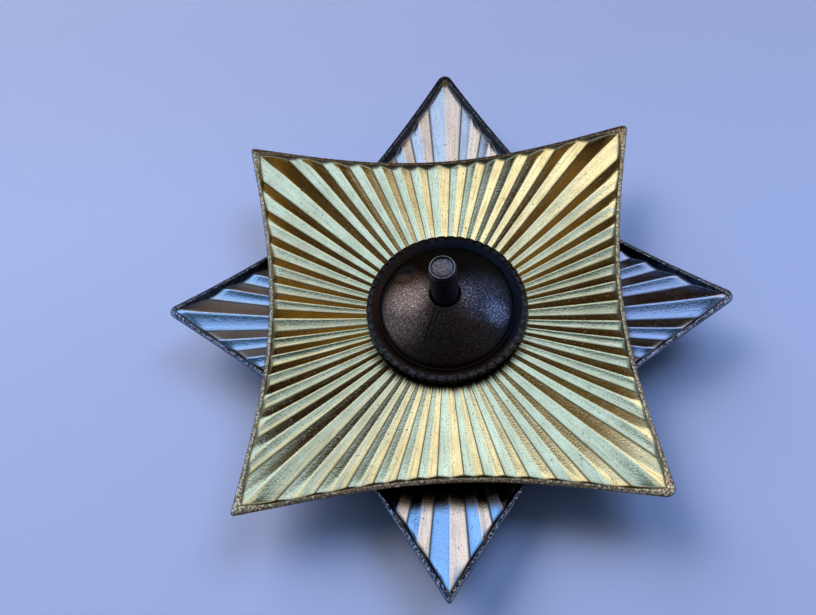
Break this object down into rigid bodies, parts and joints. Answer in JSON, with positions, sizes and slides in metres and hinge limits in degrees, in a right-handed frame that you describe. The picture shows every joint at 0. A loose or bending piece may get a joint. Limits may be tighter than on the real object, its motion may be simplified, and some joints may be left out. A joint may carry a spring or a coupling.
{
  "type": "breast badge",
  "caption": "Breast badge seen from its reverse: a fluted gold star plate over a longer silver one, clamped on a screw post by a domed milled nut.",
  "frame": {"origin": "middle of the bounding box on the surface that the front disc lies on, below the screw post", "axes": "+Z out of the reverse along the screw post, +Y towards the silver point at the top of the picture, +X to its right"},
  "size_m": [0.061, 0.0626, 0.0155],
  "materials": {
    "silver_star": "silver-plated, bright, with a filed border",
    "gold_star": "gilt, bright, with a worn border",
    "screw_post": "blackened, with a worn end",
    "nut": "blackened, fine-grained"
  },
  "bodies": {
    "badge": {"silver_star": "silver_star", "gold_star": "gold_star", "screw_post": "screw_post"},
    "nut": {"nut": "nut"}
  },
  "joints": [
    {"name": "nut_travel", "type": "slide", "parent": "badge", "child": "nut", "axis": [0, 0, 1], "range_m": [0, 0.0098]}
  ]
}
